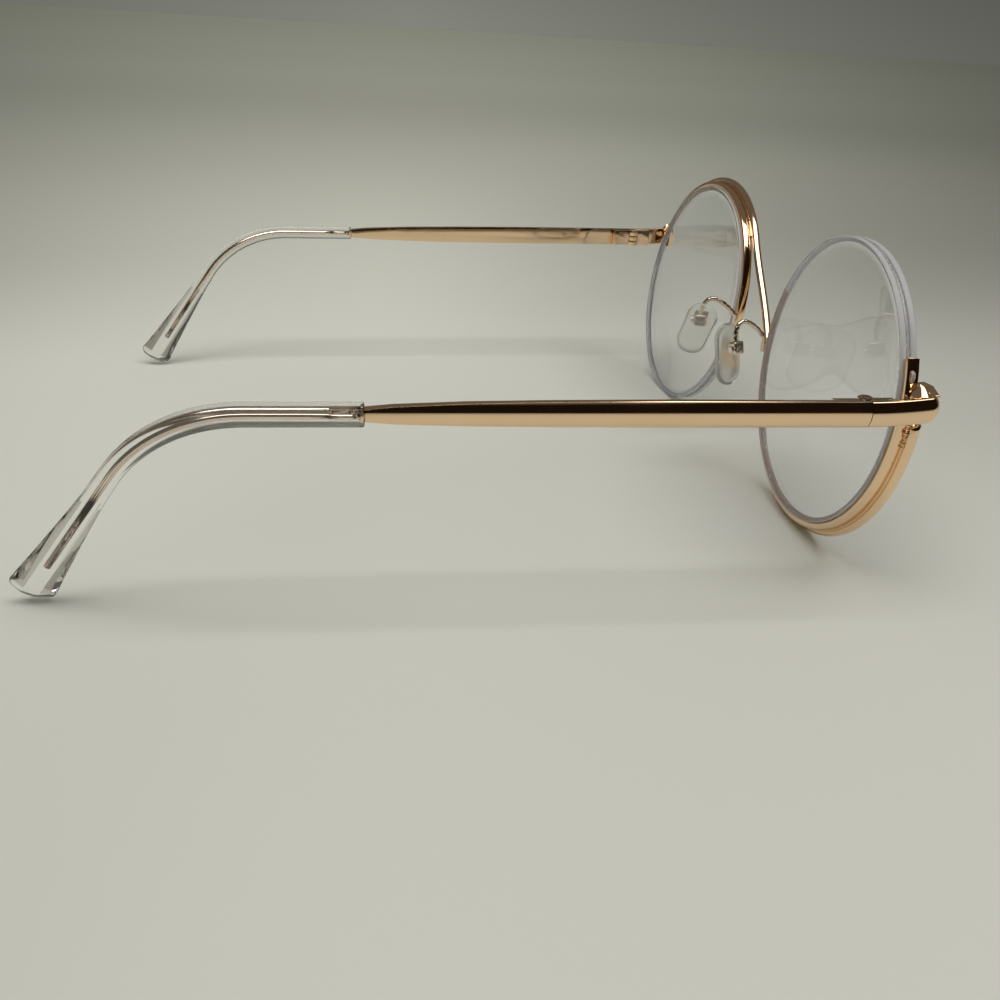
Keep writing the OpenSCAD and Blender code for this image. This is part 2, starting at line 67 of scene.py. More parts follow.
# Floor and light. The glasses lie on a smooth pale grey sheet under one long soft light. The sheet's
# colour carries painted light and shade: paler far off, darker to the sides, with a painted pool of light,
# a painted shadow and a faint glow far away. A dark dome over the table shows only in polished surfaces,
# where it draws the brown and black reflections as a painted reflection.
def added(name, kind, material=None):
    obj = bpy.data.objects.new(name, kind)
    bpy.context.scene.collection.objects.link(obj)
    if material:
        obj.data.materials.append(material)
    return obj


class Finish:
    """A node tree that is built node by node: a new material's own, or the tree that it is given."""

    def __init__(self, name, tree=None):
        if tree is None:
            self.material = bpy.data.materials.new(name)
            self.material.use_nodes = True
            tree = self.material.node_tree
            self.shader = tree.nodes["Principled BSDF"]
        self.tree = tree

    def node(self, kind, **settings):
        made = self.tree.nodes.new("ShaderNode" + kind)
        for key, value in settings.items():
            setattr(made, key, value)
        return made

    def join(self, source, target):
        self.tree.links.new(source, target)

    def feed(self, value, socket):
        """Joins another node's output to the socket, or sets the socket to a plain value."""
        if isinstance(value, bpy.types.NodeSocket):
            self.join(value, socket)
        else:
            socket.default_value = value

    def worked(self, operation, *values):
        """A Math node fed by sockets and numbers."""
        sum_node = self.node("Math", operation=operation)
        for socket, value in zip(sum_node.inputs, values):
            self.feed(value, socket)
        return sum_node.outputs["Value"]

    def product(self, first, *others):
        for other in others:
            first = self.worked("MULTIPLY", first, other)
        return first

    def scaled(self, vector, factor):
        """A colour or a direction times a number."""
        scale_node = self.node("VectorMath", operation="SCALE")
        self.feed(vector, scale_node.inputs["Vector"])
        self.feed(factor, scale_node.inputs["Scale"])
        return scale_node.outputs["Vector"]

    def ranged(self, value, low, high, first, last, course="LINEAR"):
        """Goes from first to last as the value goes from low to high."""
        spread = self.node("MapRange", interpolation_type=course)
        for name, number in (("From Min", low), ("From Max", high), ("To Min", first), ("To Max", last)):
            spread.inputs[name].default_value = number
        self.join(value, spread.inputs["Value"])
        return spread.outputs["Result"]

    def eased(self, *values):
        """The same, but it starts and stops softly."""
        return self.ranged(*values, course="SMOOTHSTEP")

    def place(self):
        return self.node("TexCoord").outputs["Object"]

    def noise(self, scale, detail=2):
        cloud = self.node("TexNoise")
        cloud.inputs["Scale"].default_value = scale
        cloud.inputs["Detail"].default_value = detail
        self.join(self.place(), cloud.inputs["Vector"])
        return cloud.outputs["Fac"]

    def plastic(self, colour, transmission, ior, dullness):
        """Sets a clear plastic: its colour, how clear it is, how it bends light, and what dulls it."""
        self.shader.inputs["Base Color"].default_value = (*colour, 1)
        self.shader.inputs["Transmission Weight"].default_value = transmission
        self.shader.inputs["IOR"].default_value = ior
        self.feed(dullness, self.shader.inputs["Roughness"])


FAN_X, FAN_Y, FAN_TURN = -0.25, 0.024, 0.067
# Painted light: the sheet's own colour is darker near the middle and paler further out, standing in for how
# the lamp's light falls on it.
SHEET_PAINTED_SHADES = [(0.0, (0.77, 0.76, 0.715)), (0.25, (0.77, 0.765, 0.715)), (0.34, (0.89, 0.885, 0.825)),
                (0.42, (0.87, 0.87, 0.805)), (0.55, (0.87, 0.875, 0.80)), (0.65, (0.94, 0.955, 0.87)),
                (0.76, (0.97, 0.985, 0.89)), (1.0, (0.97, 0.985, 0.87))]

ground = Finish("floor_sheet_painted_light")
centred = ground.node("Mapping")
centred.inputs["Location"].default_value = (0.154, 0.09, 0)
centred.inputs["Scale"].default_value = (1, 0.6, 0)
distance = ground.node("VectorMath", operation="LENGTH")
ground.join(ground.place(), centred.inputs["Vector"])
ground.join(centred.outputs["Vector"], distance.inputs[0])
reach = distance.outputs["Value"]
outward = ground.worked("DIVIDE", reach, ground.worked("ADD", reach, 0.5))
painted_reach_ramp = ground.node("ValToRGB")
for at, shade in SHEET_PAINTED_SHADES[:-2]:
    painted_reach_ramp.color_ramp.elements.new(at)
for stop, (at, shade) in zip(painted_reach_ramp.color_ramp.elements, SHEET_PAINTED_SHADES):
    stop.position = at
    stop.color = (*shade, 1)
ground.join(outward, painted_reach_ramp.inputs["Fac"])
spot = ground.node("SeparateXYZ")
ground.join(ground.place(), spot.inputs["Vector"])
bearing = ground.worked("ARCTAN2", ground.worked("SUBTRACT", spot.outputs["Y"], FAN_Y),
                        ground.worked("SUBTRACT", spot.outputs["X"], FAN_X))
from_light = ground.worked("ADD", bearing, FAN_TURN)
aside = ground.worked("ABSOLUTE", from_light)
# Painted shade: the sheet darkens further out towards the sides, away from the light.
painted_side_shade = ground.product(ground.eased(aside, 0, 0.75, 0, 0.62), ground.eased(outward, 0.1, 0.45, 0, 1))
# A painted pool of light on one side and a painted shadow on the other, both at middle distance.
painted_light_pool = ground.product(ground.eased(from_light, 0.05, 0.35, 0, 0.13),
                         ground.eased(outward, 0.2, 0.27, 0, 1), ground.eased(outward, 0.33, 0.43, 1, 0))
painted_shadow = ground.product(ground.eased(from_light, -0.2, 0.05, 0.15, 0),
                      ground.eased(from_light, -0.6, -0.3, 0.35, 1),
                      ground.eased(outward, 0.27, 0.37, 0, 1), ground.eased(outward, 0.44, 0.6, 1, 0))
painted_patches = ground.product(ground.worked("SUBTRACT", painted_light_pool, painted_shadow), ground.eased(aside, 1.2, 2.4, 1, 0))
# The sheet's colour is scaled by this painted light and shade.
lit = ground.worked("SUBTRACT", ground.worked("ADD", painted_patches, 1), painted_side_shade)
painted_shade_colour = ground.scaled(painted_reach_ramp.outputs["Color"], lit)
# Painted light: the far part of the sheet glows a little, lifting it where the lamp's light falls off.
painted_far_glow = ground.product(ground.eased(outward, 0.64, 0.78, 0, 0.05),
                         ground.eased(outward, 0.84, 0.96, 1, 0.6))
ground.join(painted_shade_colour, ground.shader.inputs["Base Color"])
ground.join(ground.scaled(painted_shade_colour, painted_far_glow), ground.shader.inputs["Emission Color"])
ground.shader.inputs["Emission Strength"].default_value = 1
ground.shader.inputs["Roughness"].default_value = 0.6
ground.shader.inputs["Specular IOR Level"].default_value = 0.1

shape = bmesh.new()
bmesh.ops.create_circle(shape, cap_ends=True, radius=12, segments=96)
sheet = bpy.data.meshes.new("floor")
shape.to_mesh(sheet)
floor = added("floor", sheet, ground.material)
floor.location.z = -0.00002

DOME_R = 1.3
# Painted reflection: the dome glows with its own colour, near black below the top on the camera's side and
# dim brown elsewhere, and only polished surfaces see it.
dark = Finish("painted_reflection_dome")
dome_parts = dark.node("SeparateXYZ")
dark.join(dark.place(), dome_parts.inputs["Vector"])
height = dark.worked("DIVIDE", dome_parts.outputs["Z"], DOME_R)
near_side = dark.eased(dark.worked("DIVIDE", dome_parts.outputs["X"], DOME_R), -0.35, 0.25, 1, 0)
painted_dark_band = dark.product(near_side, dark.eased(height, 0.74, 0.86, 1, 0))
painted_reflection_colour = dark.node("Mix", data_type="RGBA")
painted_reflection_colour.inputs["A"].default_value = (0.125, 0.11, 0.092, 1)
painted_reflection_colour.inputs["B"].default_value = (0.009, 0.0055, 0.004, 1)
dark.join(painted_dark_band, painted_reflection_colour.inputs["Factor"])
dark.join(painted_reflection_colour.outputs["Result"], dark.shader.inputs["Emission Color"])
dark.shader.inputs["Emission Strength"].default_value = 1
dark.shader.inputs["Base Color"].default_value = (0, 0, 0, 1)
dark.shader.inputs["Specular IOR Level"].default_value = 0
shape = bmesh.new()
bmesh.ops.create_uvsphere(shape, u_segments=48, v_segments=24, radius=DOME_R)
bmesh.ops.bisect_plane(shape, geom=shape.verts[:] + shape.edges[:] + shape.faces[:], plane_co=(0, 0, 0),
                       plane_no=(0, 0, -1), clear_outer=True)
bmesh.ops.reverse_faces(shape, faces=shape.faces[:])
bowl = bpy.data.meshes.new("dome")
shape.to_mesh(bowl)
dome = added("dome", bowl, dark.material)
for rays in ("visible_camera", "visible_diffuse", "visible_transmission", "visible_shadow"):
    setattr(dome, rays, False)

soft = bpy.data.lights.new("soft_light", "AREA")
soft.shape = "RECTANGLE"
soft.size = 0.38
soft.size_y = 1.1
soft.energy = 4.3
soft.color = (1.0, 0.985, 0.95)
soft_light = added("soft_light", soft)
soft_light.location = (-0.14, -0.05, 0.8)

room = bpy.data.worlds.new("room")
room.use_nodes = True
bpy.context.scene.world = room
AIR = (0.215, 0.22, 0.19, 1)
LOW_BAND = 0.06
air = room.node_tree.nodes["Background"]
air.inputs["Color"].default_value = AIR
backdrop = Finish("room", room.node_tree)
# Painted shade on the backdrop that the camera, glass and polished metal see: darker to the sides like the
# sheet, and brighter at and below the horizon. The light that falls on things stays the plain AIR colour.
way = backdrop.node("SeparateXYZ")
backdrop.join(backdrop.node("TexCoord").outputs["Generated"], way.inputs["Vector"])
way_turn = backdrop.worked("ARCTAN2", way.outputs["Y"], way.outputs["X"])
way_aside = backdrop.worked("ABSOLUTE", backdrop.worked("ADD", way_turn, FAN_TURN))
lowness = backdrop.worked("MINIMUM", LOW_BAND, backdrop.worked("SUBTRACT", LOW_BAND, way.outputs["Z"]))
painted_horizon_lift = backdrop.worked("ADD", 1, backdrop.worked("MULTIPLY", 4, backdrop.worked("MAXIMUM", 0, lowness)))
painted_wall_shade = backdrop.product(painted_horizon_lift, backdrop.eased(way_aside, -0.3, 0.85, 0.956, 0.351))
wall = backdrop.node("Background")
backdrop.join(backdrop.scaled(AIR[:3], painted_wall_shade), wall.inputs["Color"])
path = backdrop.node("LightPath")
shown = backdrop.worked("MAXIMUM", path.outputs["Is Camera Ray"], backdrop.worked(
    "MAXIMUM", path.outputs["Is Transmission Ray"], path.outputs["Is Glossy Ray"]))
choice = backdrop.node("MixShader")
backdrop.join(shown, choice.inputs["Fac"])
backdrop.join(air.outputs["Background"], choice.inputs[1])
backdrop.join(wall.outputs["Background"], choice.inputs[2])
backdrop.join(choice.outputs["Shader"], room.node_tree.nodes["World Output"].inputs["Surface"])


# Lenses. Each is a round, slightly curved plastic lens, moulded and polished on both faces and then
# ground to its circle, so its edge is frosted. A groove round the edge takes the cord or the wire.
def kept(shape, name, body, *materials, smooth=True, replaced=()):
    """Brings a shape drawn in millimetres down to metres and sets it on its body."""
    bmesh.ops.remove_doubles(shape, verts=shape.verts, dist=1e-5)
    bmesh.ops.recalc_face_normals(shape, faces=shape.faces)
    bmesh.ops.scale(shape, vec=(0.001, 0.001, 0.001), verts=shape.verts)
    mesh = bpy.data.meshes.new(name)
    shape.to_mesh(mesh)
    shape.free()
    for face in mesh.polygons:
        face.use_smooth = smooth
    obj = added(name, mesh)
    for material in materials:
        mesh.materials.append(material)
    if replaced:
        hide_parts(*replaced)
    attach(obj, body)
    return obj


def points(geom):
    """The vertices among the results of a mesh operation."""
    return [v for v in geom if isinstance(v, bmesh.types.BMVert)]


MIDDLE = -64.9333
LENS_R = 26.0
LENS_EDGE = 2.9
LENS_MIDDLE = 2.0
LENS_FRONT_R = 130.0
GROOVE = 0.8
CHAMFER = 0.12
LEAN = {RIGHT: math.radians(3.5), LEFT: math.radians(7.2)}
LENS_Z = {RIGHT: 28.6365, LEFT: 26.1584}
RING_TURN = {RIGHT: math.pi, LEFT: 0.0}
RIM_START = {RIGHT: math.radians(-7.28794), LEFT: math.radians(21.9489)}
RIM_STOP = math.radians(204)
RIM_W, RIM_BACK = 2.0, 0.55
LENS_SEAT = {
    side: Matrix.Translation((side * 36, MIDDLE, LENS_Z[side]))
    @ Matrix.Rotation(side * math.radians(2.2), 4, "Z")
    @ Matrix.Rotation(LEAN[side], 4, "X")
    for side in (RIGHT, LEFT)
}


def drawn_on(shape, vert, step):
    """Pulls one more point out of a drawn line."""
    pulled = bmesh.ops.extrude_vert_indiv(shape, verts=[vert])["verts"][0]
    pulled.co += Vector(step)
    return pulled


def lens_outline(shape):
    """Half the lens's section, from the middle of its front round to the middle of its back."""
    rise = LENS_FRONT_R - math.sqrt(LENS_FRONT_R ** 2 - LENS_R ** 2)
    hollow = LENS_EDGE + rise - LENS_MIDDLE
    back_r = (LENS_R ** 2 + hollow ** 2) / (2 * hollow)
    first = shape.verts.new((0, -(LENS_EDGE + rise), 0))
    arc = bmesh.ops.spin(shape, geom=[first], cent=(0, LENS_FRONT_R - LENS_EDGE - rise, 0), axis=(0, 0, 1),
                         angle=math.asin(LENS_R / LENS_FRONT_R), steps=14)
    rim = points(arc["geom_last"])[0]
    side_step = (LENS_EDGE - GROOVE) / 2
    bare = LENS_EDGE - RIM_BACK - RIM_W
    for step in ((0, bare, 0), (0, side_step - bare, 0), (-GROOVE, 0, 0), (0, GROOVE, 0), (GROOVE, 0, 0),
                 (0, side_step - RIM_BACK, 0), (0, RIM_BACK, 0)):
        rim = drawn_on(shape, rim, step)
    bmesh.ops.spin(shape, geom=[rim], cent=(0, back_r - hollow, 0), axis=(0, 0, 1),
                   angle=-math.asin(LENS_R / back_r), steps=14)


def ground_lens(side):
    shape = bmesh.new()
    lens_outline(shape)
    bmesh.ops.spin(shape, geom=shape.verts[:] + shape.edges[:], cent=(0, 0, 0), axis=(0, 1, 0),
                   angle=2 * math.pi, steps=160, use_merge=True)
    bmesh.ops.remove_doubles(shape, verts=shape.verts, dist=1e-4)
    bmesh.ops.recalc_face_normals(shape, faces=shape.faces)
    corners = [e for e in shape.edges if len(e.link_faces) == 2 and e.calc_face_angle() > 0.9
               and min(math.hypot(v.co.x, v.co.z) for v in e.verts) > LENS_R - 0.1]
    bmesh.ops.bevel(shape, geom=corners, offset=CHAMFER, segments=2, profile=0.5, affect="EDGES", material=-1)
    for face in shape.faces:
        near_edge = min(math.hypot(v.co.x, v.co.z) for v in face.verts) > LENS_R - GROOVE - 0.01
        face.material_index = 1 if near_edge else 0
        middle = face.calc_center_median()
        turn = (math.atan2(middle.z, middle.x) - RING_TURN[side] - RIM_START[side]) % (2 * math.pi)
        # The edge faces that sit in the rim take the third finish, tinted tan as a painted reflection of the
        # gold rim.
        if near_edge and turn < RIM_STOP - RIM_START[side] and -middle.y > RIM_BACK:
            face.material_index = 2 if -middle.y < RIM_BACK + RIM_W else 0
    return shape


clear_finish = Finish("lens_faces")
clear_finish.plastic((0.955, 0.962, 0.985), 1, 1.5,
                     clear_finish.ranged(clear_finish.noise(90, 4), 0.52, 0.75, 0.0, 0.045))

frost_finish = Finish("lens_ground_edge")
grit = frost_finish.noise(2600, 3)
grit_bump = frost_finish.node("Bump")
grit_bump.inputs["Strength"].default_value = 0.35
grit_bump.inputs["Distance"].default_value = 0.00004
frost_finish.join(grit, grit_bump.inputs["Height"])
frost_finish.join(grit_bump.outputs["Normal"], frost_finish.shader.inputs["Normal"])
frost_finish.plastic((0.93, 0.93, 0.985), 0.5, 1.5, frost_finish.ranged(grit, 0, 1, 0.38, 0.55))

# Painted reflection: the part of the edge that sits in the rim is tinted tan, standing in for the gold rim
# that shows through it.
painted_rim_finish = Finish("lens_edge_painted_rim_tint")
painted_rim_finish.plastic((0.88, 0.72, 0.63), 0.25, 1.5,
                      painted_rim_finish.eased(painted_rim_finish.noise(700), 0.4, 0.8, 0.12, 0.3))

for word, side in SIDES.items():
    shape = ground_lens(side)
    bmesh.ops.transform(shape, matrix=LENS_SEAT[side], verts=shape.verts)
    lens = kept(shape, "ground_lens_" + word, "front", clear_finish.material, frost_finish.material,
                painted_rim_finish.material, replaced=["lens_" + word])


# Gold finish. All the metal is nickel silver under a thin bright plating of pale rose gold, polished,
# with the fine rub marks and faint smears that such plating picks up.
def wear_group():
    group = bpy.data.node_groups.new("rubbed_plating", "ShaderNodeTree")
    sockets = group.interface
    sockets.new_socket("Vector", in_out="INPUT", socket_type="NodeSocketVector")
    sockets.new_socket("Bright", in_out="INPUT", socket_type="NodeSocketColor")
    sockets.new_socket("Deep", in_out="INPUT", socket_type="NodeSocketColor")
    sockets.new_socket("Polish", in_out="INPUT", socket_type="NodeSocketFloat")
    sockets.new_socket("Grain Scale", in_out="INPUT", socket_type="NodeSocketFloat")
    sockets.new_socket("Color", in_out="OUTPUT", socket_type="NodeSocketColor")
    sockets.new_socket("Roughness", in_out="OUTPUT", socket_type="NodeSocketFloat")
    sockets.new_socket("Height", in_out="OUTPUT", socket_type="NodeSocketFloat")
    entry = group.nodes.new("NodeGroupInput")
    leave = group.nodes.new("NodeGroupOutput")
    cloud = group.nodes.new("ShaderNodeTexNoise")
    cloud.inputs["Scale"].default_value = 160
    cloud.inputs["Detail"].default_value = 3
    fine = group.nodes.new("ShaderNodeTexNoise")
    fine.inputs["Detail"].default_value = 2
    tone = group.nodes.new("ShaderNodeMix")
    tone.data_type = "RGBA"
    rub = group.nodes.new("ShaderNodeMapRange")
    rub.inputs["From Min"].default_value = 0.35
    rub.inputs["From Max"].default_value = 0.8
    rub.inputs["To Min"].default_value = 0.0
    rub.inputs["To Max"].default_value = 0.09
    total = group.nodes.new("ShaderNodeMath")
    link = group.links.new
    link(entry.outputs["Vector"], cloud.inputs["Vector"])
    link(entry.outputs["Vector"], fine.inputs["Vector"])
    link(entry.outputs["Grain Scale"], fine.inputs["Scale"])
    link(cloud.outputs["Fac"], tone.inputs["Factor"])
    link(entry.outputs["Bright"], tone.inputs["A"])
    link(entry.outputs["Deep"], tone.inputs["B"])
    link(tone.outputs["Result"], leave.inputs["Color"])
    link(cloud.outputs["Fac"], rub.inputs["Value"])
    link(rub.outputs["Result"], total.inputs[0])
    link(entry.outputs["Polish"], total.inputs[1])
    link(total.outputs["Value"], leave.inputs["Roughness"])
    link(fine.outputs["Fac"], leave.inputs["Height"])
    return group


RUBBED = wear_group()


def plated(name, bright, deep, polish, grain, grain_scale=3200, grain_depth=0.00002):
    """A plated metal: two tones that cloud into each other, its polish, and a fine grain."""
    finish = Finish(name)
    where = finish.node("TexCoord")
    rubbed = finish.node("Group", node_tree=RUBBED)
    rubbed.inputs["Bright"].default_value = (*bright, 1)
    rubbed.inputs["Deep"].default_value = (*deep, 1)
    rubbed.inputs["Polish"].default_value = polish
    rubbed.inputs["Grain Scale"].default_value = grain_scale
    bump = finish.node("Bump")
    bump.inputs["Strength"].default_value = grain
    bump.inputs["Distance"].default_value = grain_depth
    finish.join(where.outputs["Object"], rubbed.inputs["Vector"])
    finish.join(rubbed.outputs["Color"], finish.shader.inputs["Base Color"])
    finish.join(rubbed.outputs["Roughness"], finish.shader.inputs["Roughness"])
    finish.join(rubbed.outputs["Height"], bump.inputs["Height"])
    finish.join(bump.outputs["Normal"], finish.shader.inputs["Normal"])
    finish.shader.inputs["Metallic"].default_value = 1
    return finish.material


# The solder's deeper gold is partly its own tone and partly painted shade, the darkness of the crease between
# eye wire and bridge wire.
solder = plated("gold_solder_painted_crease_shade", (0.86, 0.60, 0.36), (0.70, 0.44, 0.24), 0.14, 0.6, 1500, 0.0001)
gold = plated("rose_gold_plating", (0.93, 0.70, 0.46), (0.88, 0.62, 0.40), 0.06, 0.08)
steel = plated("screw_steel", (0.80, 0.74, 0.68), (0.70, 0.64, 0.58), 0.12, 0.2)


def crisped(obj, degrees=35):
    """Keeps the edges that turn more than this angle crisp in the smooth shading."""
    split = obj.modifiers.new("crisp", "EDGE_SPLIT")
    split.split_angle = math.radians(degrees)


def dressed(node, material, rounding=0.0):
    """Gives a CAD part its finish, smooth shading and slightly rounded edges."""
    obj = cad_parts[node]
    obj.data.materials.clear()
    obj.data.materials.append(material)
    for face in obj.data.polygons:
        face.use_smooth = True
    weld = obj.modifiers.new("weld", "WELD")
    weld.merge_threshold = 0.000002
    if rounding:
        bevel = obj.modifiers.new("rounding", "BEVEL")
        bevel.width = rounding * 0.001
        bevel.segments = 3
        bevel.limit_method = "ANGLE"
        bevel.angle_limit = math.radians(28)
    crisped(obj)


for word in SIDES:
    for node in ("front_hinge_", "temple_hinge_"):
        dressed(node + word, gold, 0.12)
    dressed("temple_" + word, gold, 0.07)
dressed("pad_screws", steel, 0.05)


# Eye wires. Each is a drawn plated wire of round-cornered section, bent to half a circle just outside
# the lens's edge. It ends a little past the middle of the nose side.
RIM_IN, RIM_OUT = 26.04, 27.24


def ring_place(side, angle):
    """The place of a section on a lens's ring: x outwards, y to the back and z along the ring."""
    return LENS_SEAT[side] @ Matrix.Rotation(-(angle + RING_TURN[side]), 4, "Y")


def eye_wire(side):
    shape = bmesh.new()
    bmesh.ops.create_grid(shape, x_segments=1, y_segments=1, size=0.5)
    bmesh.ops.scale(shape, vec=(RIM_OUT - RIM_IN, RIM_W, 1), verts=shape.verts)
    bmesh.ops.bevel(shape, geom=shape.verts[:], offset=0.34, segments=4, profile=0.5,
                    affect="VERTICES", material=-1)
    bmesh.ops.translate(shape, vec=((RIM_IN + RIM_OUT) / 2, -RIM_BACK - RIM_W / 2, 0), verts=shape.verts)
    sweep = RIM_STOP - RIM_START[side]
    bmesh.ops.spin(shape, geom=shape.faces[:], cent=(0, 0, 0), axis=(0, -1, 0), angle=sweep, steps=110)
    bmesh.ops.transform(shape, matrix=ring_place(side, RIM_START[side]), verts=shape.verts)
    return shape


for word, side in SIDES.items():
    rim = kept(eye_wire(side), "half_rim_" + word, "front", gold, replaced=["eye_wire_" + word])


# Bridge wire. One drawn wire makes the whole front: over the left lens, down across the nose and under
# the right lens. It is soldered to both eye wires from end to end.
def round_section(shape, sides=16):
    bmesh.ops.create_circle(shape, cap_ends=True, radius=1, segments=sides)


def draw_wire(path, front, widths, section=round_section, thinned=None):
    """Pulls a section along a path: each step extrudes the last outline and carries it on."""
    places = []
    for i, point in enumerate(path):
        along = (path[min(i + 1, len(path) - 1)] - path[max(i - 1, 0)]).normalized()
        beside = along.cross(front[i]).normalized()
        facing = beside.cross(along)
        turn = Matrix((beside * widths[i][0], facing * widths[i][1], along)).transposed().to_4x4()
        places.append(Matrix.Translation(point) @ turn)
    shape = bmesh.new()
    section(shape)
    edges = [e for e in shape.edges if e.is_boundary]
    bmesh.ops.transform(shape, matrix=places[0], verts=shape.verts)
    for i, (before, after) in enumerate(zip(places, places[1:])):
        pulled = bmesh.ops.extrude_edge_only(shape, edges=edges)["geom"]
        ring = points(pulled)
        edges = [e for e in pulled if isinstance(e, bmesh.types.BMEdge) and all(v in ring for v in e.verts)]
        bmesh.ops.transform(shape, matrix=before.inverted(), verts=ring)
        if thinned:
            for v in ring:
                v.co.y *= thinned(i + 1, v.co.x) / thinned(i, v.co.x)
        bmesh.ops.transform(shape, matrix=after, verts=ring)
    bmesh.ops.edgeloop_fill(shape, edges=edges)
    return shape


WIRE_R, WIRE_FRONT = 27.79, 3.27
CROSS_AT = math.radians(138.516)
WIRE_FROM = RIM_START[LEFT] + math.radians(0.9)
WIRE_TO = RIM_START[RIGHT] + math.radians(0.9)
NOSE_BOW = 1.1


def on_ring(side, r, angle, front):
    turn = angle + RING_TURN[side]
    return LENS_SEAT[side] @ Vector((r * math.cos(turn), -front, r * math.sin(turn)))


def facing_of(side):
    return (LENS_SEAT[side].to_3x3() @ Vector((0, -1, 0))).normalized()


def bowed(start, leave, stop, arrive, steps):
    """A smooth run from start to stop that leaves and arrives along the given directions."""
    run = []
    for i in range(1, steps):
        t = i / steps
        run.append((2 * t ** 3 - 3 * t ** 2 + 1) * start + (t ** 3 - 2 * t ** 2 + t) * leave
                   + (3 * t ** 2 - 2 * t ** 3) * stop + (t ** 3 - t ** 2) * arrive)
    return run


def wire_route():
    left = [on_ring(LEFT, WIRE_R, WIRE_FROM + (CROSS_AT - WIRE_FROM) * i / 60, WIRE_FRONT)
            for i in range(61)]
    right = [on_ring(RIGHT, WIRE_R, CROSS_AT + (WIRE_TO - CROSS_AT) * i / 70, WIRE_FRONT)
             for i in range(71)]
    reach = (right[0] - left[-1]).length
    leave = (left[-1] - on_ring(LEFT, WIRE_R, CROSS_AT - 0.017, WIRE_FRONT)).normalized() * reach
    arrive = (on_ring(RIGHT, WIRE_R, CROSS_AT - 0.017, WIRE_FRONT) - right[0]).normalized() * reach
    steps = 24
    nose = bowed(left[-1], leave, right[0], arrive, steps)
    nose = [p - Vector((0, NOSE_BOW * math.sin(math.pi * (i + 1) / steps) ** 2, 0))
            for i, p in enumerate(nose)]
    front = [facing_of(LEFT)] * len(left) + [Vector((0, -1, 0))] * len(nose)
    front += [facing_of(RIGHT)] * len(right)
    return left + nose + right, front


route, route_front = wire_route()
swirl = kept(draw_wire(route, route_front, [(0.7, 0.85)] * len(route)), "swirl_wire", "front", gold,
             replaced=["bridge_wire"])

SEAM_R, SEAM_FRONT = 27.36, 2.42
SEAM_BEADS = [(1.5, 0.46), (2.3, 0.36), (2.9, 0.42), (3.8, 0.34), (4.4, 0.4), (5.3, 0.3), (6.0, 0.35),
              (7.1, 0.27), (8.0, 0.3), (9.4, 0.24)]


# The fillet takes the solder finish, whose deeper gold is partly painted crease shade.
def solder_seam(side):
    """The thin fillet between eye wire and bridge wire, with the beads left where they were tacked."""
    first, last = RIM_START[side] + math.radians(1.1), CROSS_AT - math.radians(1)
    angles = [first + (last - first) * i / 160 for i in range(161)]
    path = [on_ring(side, SEAM_R, a, SEAM_FRONT) for a in angles]
    widths = [(0.3 + 0.03 * math.sin(31 * a), 0.32 + 0.03 * math.sin(53 * a)) for a in angles]
    shape = draw_wire(path, [facing_of(side)] * len(path), widths, lambda shape: round_section(shape, 10))
    for i, (degrees, size) in enumerate(SEAM_BEADS):
        bead = bmesh.ops.create_icosphere(shape, subdivisions=2, radius=size)["verts"]
        lift = 0.12 * math.sin(5.1 * i)
        spot = on_ring(side, SEAM_R + 0.1 + lift, RIM_START[side] + math.radians(degrees),
                       SEAM_FRONT - 0.2 - lift)
        seat = Matrix.Translation(spot) @ Matrix.Diagonal((1.1, 0.9 - lift, 1 + lift, 1))
        bmesh.ops.transform(shape, matrix=seat, verts=bead)
    return shape


for word, side in SIDES.items():
    seam = kept(solder_seam(side), "solder_seam_" + word, "front", solder)


# Lugs. Each is a short square block of the same plated metal, soldered to the end of the eye wire. The
# nylon cord is threaded through it.
LUG_OUT, LUG_BACK = 27.34, 0.6
LUG_FROM = {RIGHT: math.radians(-27.7), LEFT: math.radians(2.5)}


def lug_block(side):
    shape = bmesh.new()
    bmesh.ops.create_grid(shape, x_segments=1, y_segments=1, size=0.5)
    bmesh.ops.scale(shape, vec=(LUG_OUT - RIM_IN, RIM_W, 1), verts=shape.verts)
    bmesh.ops.bevel(shape, geom=shape.verts[:], offset=0.16, segments=3, profile=0.5,
                    affect="VERTICES", material=-1)
    bmesh.ops.translate(shape, vec=((RIM_IN + LUG_OUT) / 2, -LUG_BACK - RIM_W / 2, 0), verts=shape.verts)
    sweep = RIM_START[side] + math.radians(3) - LUG_FROM[side]
    bmesh.ops.spin(shape, geom=shape.faces[:], cent=(0, 0, 0), axis=(0, -1, 0), angle=sweep, steps=14)
    ends = [e for e in shape.edges if len(e.link_faces) == 2 and e.calc_face_angle() > 1.2]
    bmesh.ops.bevel(shape, geom=ends, offset=0.12, segments=3, profile=0.5, affect="EDGES", material=-1)
    bmesh.ops.transform(shape, matrix=ring_place(side, LUG_FROM[side]), verts=shape.verts)
    return shape


for word, side in SIDES.items():
    lug = kept(lug_block(side), "square_lug_" + word, "front", gold, replaced=["lug_" + word])


